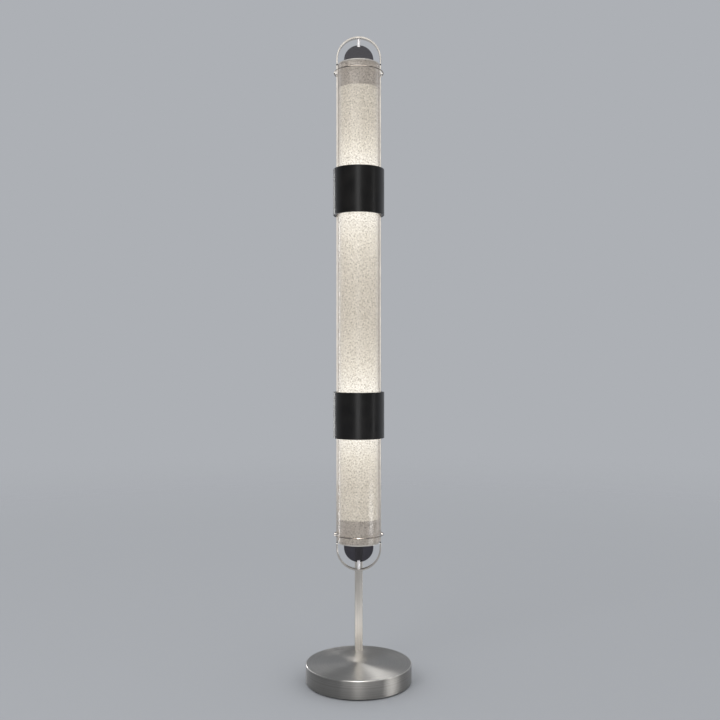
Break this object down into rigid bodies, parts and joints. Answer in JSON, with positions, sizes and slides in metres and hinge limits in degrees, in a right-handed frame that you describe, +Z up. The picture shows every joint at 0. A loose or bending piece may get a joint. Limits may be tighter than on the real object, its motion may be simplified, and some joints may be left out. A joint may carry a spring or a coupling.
{
  "type": "floor lamp",
  "caption": "Tall floor lamp: a lit glass column in a flat-strap frame with dark cuffs, held by a slim rear stem on a heavy round base.",
  "frame": {"origin": "on the floor under the column's axis, at the middle of the round base", "axes": "+Z up along the column, -Y to the front, the stem stands behind the column at +Y, +X to the viewer's right"},
  "size_m": [0.285, 0.285, 1.7405],
  "materials": {
    "brushed_nickel": "fine lengthwise brushing",
    "polished_nickel": "polished nickel",
    "turned_steel": "circular brushing",
    "blackened_steel": "blackened, satin",
    "cast_iron": "as cast, primed",
    "cast_aluminium": "as cast",
    "zinc_steel": "zinc plated",
    "satin_cap": "satin nickel",
    "seeded_glass": "clear with seeds",
    "opal": "opal, lit",
    "smoked_acrylic": "smoked, satin",
    "silicone": "translucent grey",
    "rubber": "matt",
    "nylon": "moulded",
    "board_white": "white solder mask",
    "driver_case": "moulded",
    "lead_sheath": "smooth sheath"
  },
  "bodies": {
    "root": {"arch_bottom": "polished_nickel", "arch_screws": "polished_nickel", "arch_top": "polished_nickel", "base_cover": "turned_steel", "base_plate": "zinc_steel", "base_screws": "zinc_steel", "base_weight": "cast_iron", "board_screws": "zinc_steel", "bracket_lower": "blackened_steel", "bracket_screws": "zinc_steel", "bracket_upper": "blackened_steel", "carrier_lower": "cast_aluminium", "carrier_upper": "cast_aluminium", "cord_gland": "nylon", "cuff_lower": "blackened_steel", "cuff_lower_bottom_ring": "blackened_steel", "cuff_lower_top_ring": "blackened_steel", "cuff_upper": "blackened_steel", "cuff_upper_bottom_ring": "blackened_steel", "cuff_upper_top_ring": "blackened_steel", "diffuser_lower": "opal", "diffuser_middle": "opal", "diffuser_upper": "opal", "driver": "driver_case", "driver_screws": "zinc_steel", "end_cap_bottom": "satin_cap", "end_cap_top": "satin_cap", "fin_bottom": "smoked_acrylic", "fin_screws": "zinc_steel", "fin_top": "smoked_acrylic", "foot_pad": "rubber", "gland_nut": "nylon", "glass_gaskets": "silicone", "glass_lower": "seeded_glass", "glass_middle": "seeded_glass", "glass_upper": "seeded_glass", "hoop_bottom": "polished_nickel", "hoop_studs": "polished_nickel", "hoop_top": "polished_nickel", "junction_lower": "nylon", "junction_upper": "nylon", "lead_lower": "lead_sheath", "lead_upper": "lead_sheath", "light_board_lower_bottom": "board_white", "light_board_lower_top": "board_white", "light_board_upper_bottom": "board_white", "light_board_upper_top": "board_white", "nut_plate_lower": "zinc_steel", "nut_plate_upper": "zinc_steel", "rod_bottom": "polished_nickel", "rod_top": "polished_nickel", "stem": "brushed_nickel", "stem_bolt": "zinc_steel", "stem_cap": "brushed_nickel", "stem_foot_block": "zinc_steel", "strap_couplers": "blackened_steel", "strap_left": "polished_nickel", "strap_right": "polished_nickel", "strap_screws": "zinc_steel"}
  },
  "joints": []
}
